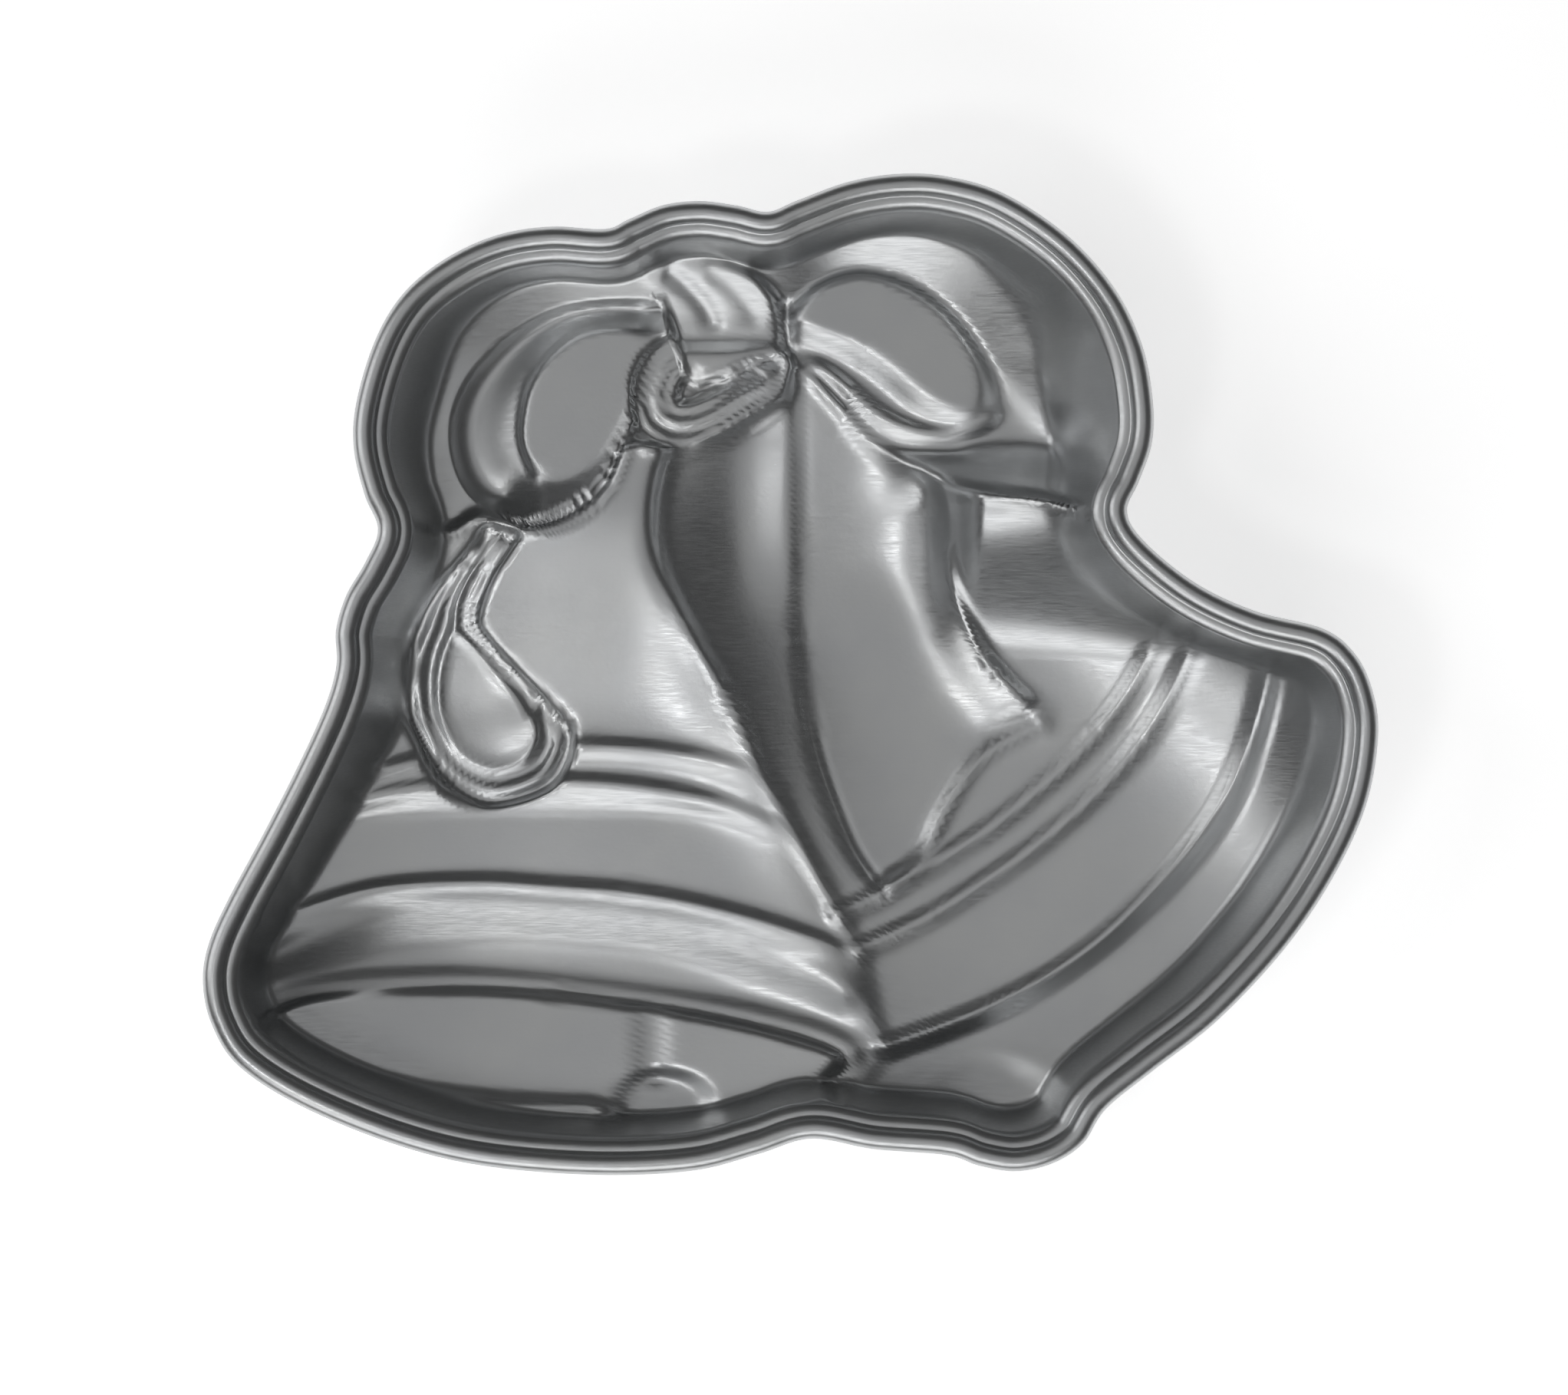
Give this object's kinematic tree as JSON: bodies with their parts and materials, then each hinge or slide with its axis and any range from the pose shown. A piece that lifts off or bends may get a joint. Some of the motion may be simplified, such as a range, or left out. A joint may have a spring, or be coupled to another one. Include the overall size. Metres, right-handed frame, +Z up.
{
  "type": "novelty cake pan",
  "caption": "Shallow pressed-aluminium cake pan shaped as two overlapping bells under a looped bow, with a flat ledge and a rolled rim.",
  "frame": {"origin": "middle of the bounding box in plan, on the surface the pan stands on", "axes": "+X along the longest side towards the right bell's mouth, +Y towards the bow, +Z up out of the cavity"},
  "size_m": [0.286, 0.2436, 0.05],
  "materials": {
    "pan_sheet": "satin pressed sheet, lightly scuffed",
    "rim_wire": "plain drawn wire"
  },
  "bodies": {
    "root": {"pan_sheet": "pan_sheet", "rim_wire": "rim_wire"}
  },
  "joints": []
}
